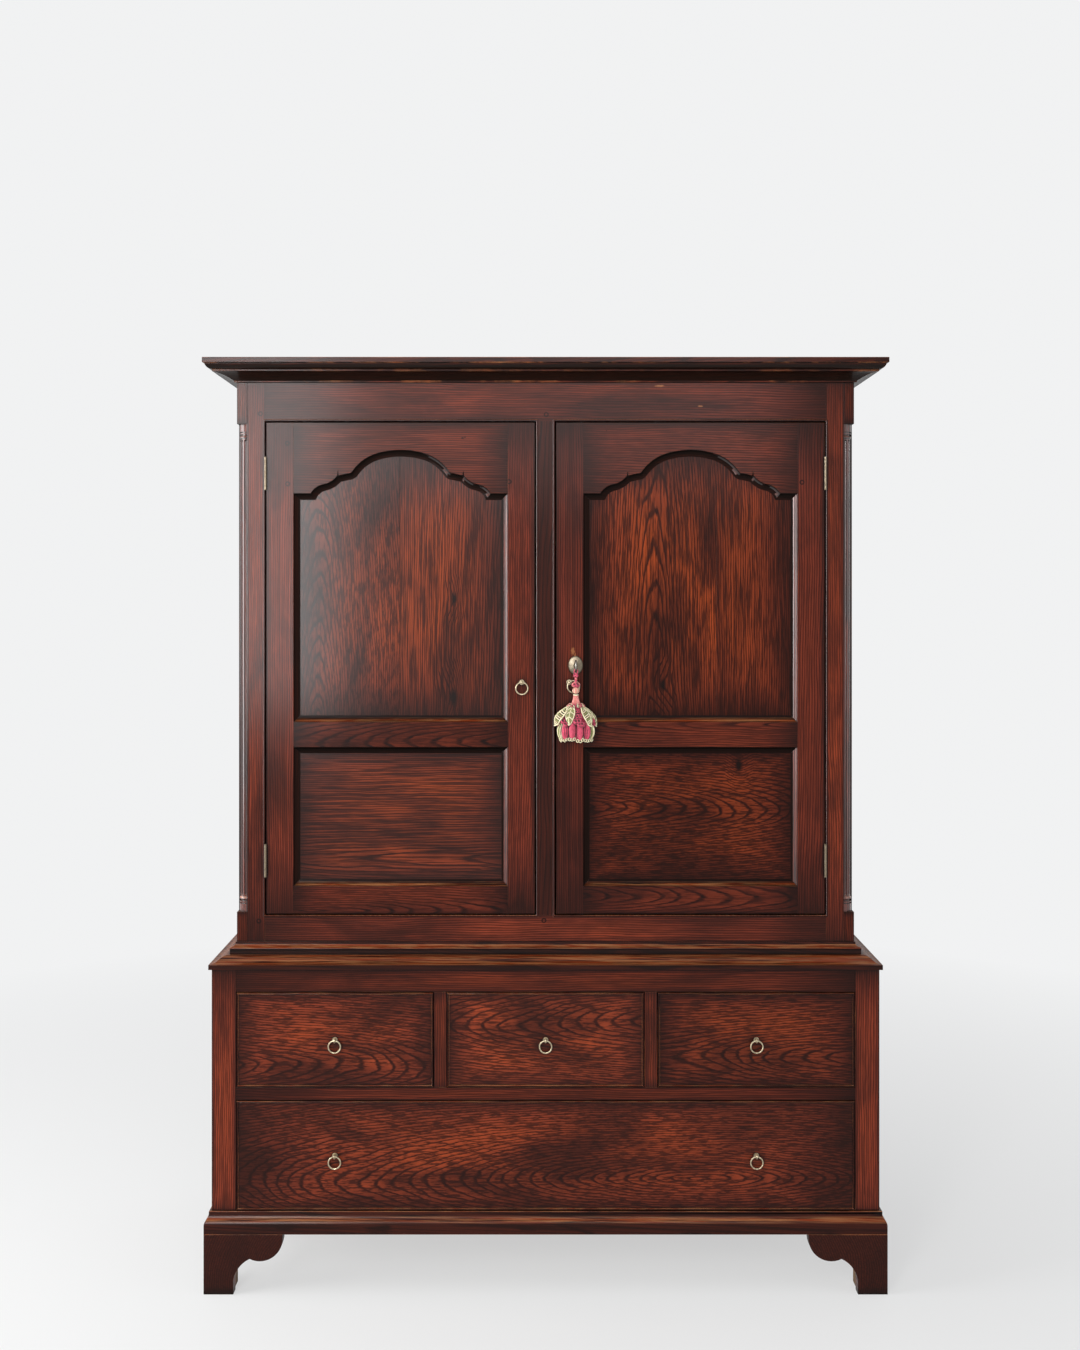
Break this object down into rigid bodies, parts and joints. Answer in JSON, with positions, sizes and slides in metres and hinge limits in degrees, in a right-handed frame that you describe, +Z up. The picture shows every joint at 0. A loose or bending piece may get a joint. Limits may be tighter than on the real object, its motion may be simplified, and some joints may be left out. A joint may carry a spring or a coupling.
{
  "type": "linen press",
  "caption": "Oak linen press: panelled cupboard with cusped arched doors on a chest of drawers, fluted corner columns, cornice, key with tassel",
  "frame": {"origin": "on the floor, under the middle of the overall box, without the tassel", "axes": "+X right, +Y back, +Z up; the doors and drawers face -Y"},
  "size_m": [1.434, 0.547, 1.957],
  "materials": {
    "polished_oak": "dark reddish-brown waxed oak, worn bright at the edges",
    "inner_oak": "dry unpolished oak, browned with age",
    "aged_brass": "aged brass, dull with brown tarnish",
    "dark_steel": "hand-worn steel, darkened",
    "tassel_fabric": "rose, cream and pale green silk and cotton"
  },
  "bodies": {
    "root": {"cornice": "polished_oak", "upper_top_and_floor": "inner_oak", "upper_front_stiles": "polished_oak", "upper_front_rails": "polished_oak", "centre_muntin": "polished_oak", "opening_beads": "polished_oak", "corner_columns": "polished_oak", "corner_blocks": "polished_oak", "upper_side_frames": "polished_oak", "upper_side_panels": "polished_oak", "upper_back_boards": "inner_oak", "shelves": "inner_oak", "shelf_bearers": "inner_oak", "waist_moulding": "polished_oak", "hinge_frame_leaves": "aged_brass", "base_top_board": "polished_oak", "base_top_moulding": "polished_oak", "base_front_stiles": "polished_oak", "base_front_rails": "polished_oak", "drawer_dividers": "polished_oak", "drawer_runners": "inner_oak", "base_side_frames": "polished_oak", "base_side_panels": "polished_oak", "base_back_boards": "inner_oak", "plinth_moulding": "polished_oak", "bracket_feet": "polished_oak", "foot_blocks": "inner_oak"},
    "left_door": {"left_door_stiles": "polished_oak", "left_door_arched_rail": "polished_oak", "left_door_lower_rails": "polished_oak", "left_door_panels": "polished_oak", "left_door_hinge_leaves": "aged_brass", "left_ring_staple": "aged_brass"},
    "left_ring": {"left_ring": "aged_brass"},
    "right_door": {"right_door_stiles": "polished_oak", "right_door_arched_rail": "polished_oak", "right_door_lower_rails": "polished_oak", "right_door_panels": "polished_oak", "right_door_hinge_leaves": "aged_brass", "right_ring_staple": "aged_brass", "escutcheon": "aged_brass", "lock_case": "dark_steel"},
    "right_ring": {"right_ring": "aged_brass"},
    "lock_bolt": {"lock_bolt": "dark_steel"},
    "key": {"key": "dark_steel"},
    "tassel": {"tassel": "tassel_fabric", "tassel_cord": "tassel_fabric"},
    "left_drawer": {"left_drawer": "polished_oak", "left_drawer_staple": "aged_brass"},
    "left_drawer_ring": {"left_drawer_ring": "aged_brass"},
    "middle_drawer": {"middle_drawer": "polished_oak", "middle_drawer_staple": "aged_brass"},
    "middle_drawer_ring": {"middle_drawer_ring": "aged_brass"},
    "right_drawer": {"right_drawer": "polished_oak", "right_drawer_staple": "aged_brass"},
    "right_drawer_ring": {"right_drawer_ring": "aged_brass"},
    "long_drawer": {"long_drawer": "polished_oak", "long_drawer_staple": "aged_brass"},
    "long_drawer_left_ring": {"long_drawer_left_ring": "aged_brass"},
    "long_drawer_right_ring": {"long_drawer_right_ring": "aged_brass"}
  },
  "joints": [
    {"name": "left_door_hinge", "type": "hinge", "parent": "root", "child": "left_door", "pos_m": [-0.5948, -0.2157, 1.3], "axis": [0, 0, -1], "range_deg": [0, 170]},
    {"name": "right_door_hinge", "type": "hinge", "parent": "root", "child": "right_door", "pos_m": [0.5948, -0.2157, 1.3], "axis": [0, 0, 1], "range_deg": [0, 170]},
    {"name": "left_ring_swing", "type": "hinge", "parent": "left_door", "child": "left_ring", "pos_m": [-0.05025, -0.2215, 1.275], "axis": [-1, 0, 0], "range_deg": [0, 170]},
    {"name": "right_ring_swing", "type": "hinge", "parent": "right_door", "child": "right_ring", "pos_m": [0.05025, -0.2215, 1.275], "axis": [-0.7071, 0, -0.7071], "range_deg": [0, 25]},
    {"name": "key_turn", "type": "hinge", "parent": "right_door", "child": "key", "pos_m": [0.06395, -0.2125, 1.311], "axis": [0, -1, 0], "range_deg": [0, 90]},
    {"name": "bolt_throw", "type": "slide", "parent": "right_door", "child": "lock_bolt", "axis": [-1, 0, 0], "range_m": [0, 0.009]},
    {"name": "tassel_swing", "type": "hinge", "parent": "key", "child": "tassel", "pos_m": [0.06395, -0.2405, 1.3005], "axis": [0, -1, 0], "range_deg": [-90, 0]},
    {"name": "left_drawer_slide", "type": "slide", "parent": "root", "child": "left_drawer", "axis": [0, -1, 0], "range_m": [0, 0.38]},
    {"name": "left_drawer_ring_swing", "type": "hinge", "parent": "left_drawer", "child": "left_drawer_ring", "pos_m": [-0.44167, -0.2655, 0.528], "axis": [-1, 0, 0], "range_deg": [0, 170]},
    {"name": "middle_drawer_slide", "type": "slide", "parent": "root", "child": "middle_drawer", "axis": [0, -1, 0], "range_m": [0, 0.38]},
    {"name": "middle_drawer_ring_swing", "type": "hinge", "parent": "middle_drawer", "child": "middle_drawer_ring", "pos_m": [0, -0.2655, 0.528], "axis": [-1, 0, 0], "range_deg": [0, 170]},
    {"name": "right_drawer_slide", "type": "slide", "parent": "root", "child": "right_drawer", "axis": [0, -1, 0], "range_m": [0, 0.38]},
    {"name": "right_drawer_ring_swing", "type": "hinge", "parent": "right_drawer", "child": "right_drawer_ring", "pos_m": [0.44167, -0.2655, 0.528], "axis": [-1, 0, 0], "range_deg": [0, 170]},
    {"name": "long_drawer_slide", "type": "slide", "parent": "root", "child": "long_drawer", "axis": [0, -1, 0], "range_m": [0, 0.38]},
    {"name": "long_drawer_left_ring_swing", "type": "hinge", "parent": "long_drawer", "child": "long_drawer_left_ring", "pos_m": [-0.44167, -0.2655, 0.2855], "axis": [-1, 0, 0], "range_deg": [0, 170]},
    {"name": "long_drawer_right_ring_swing", "type": "hinge", "parent": "long_drawer", "child": "long_drawer_right_ring", "pos_m": [0.44167, -0.2655, 0.2855], "axis": [-1, 0, 0], "range_deg": [0, 170]}
  ],
  "couplings": [
    {"joint": "bolt_throw", "follows": "key_turn", "m_per_rad": 0.005724},
    {"joint": "tassel_swing", "follows": "key_turn", "ratio": -1}
  ]
}
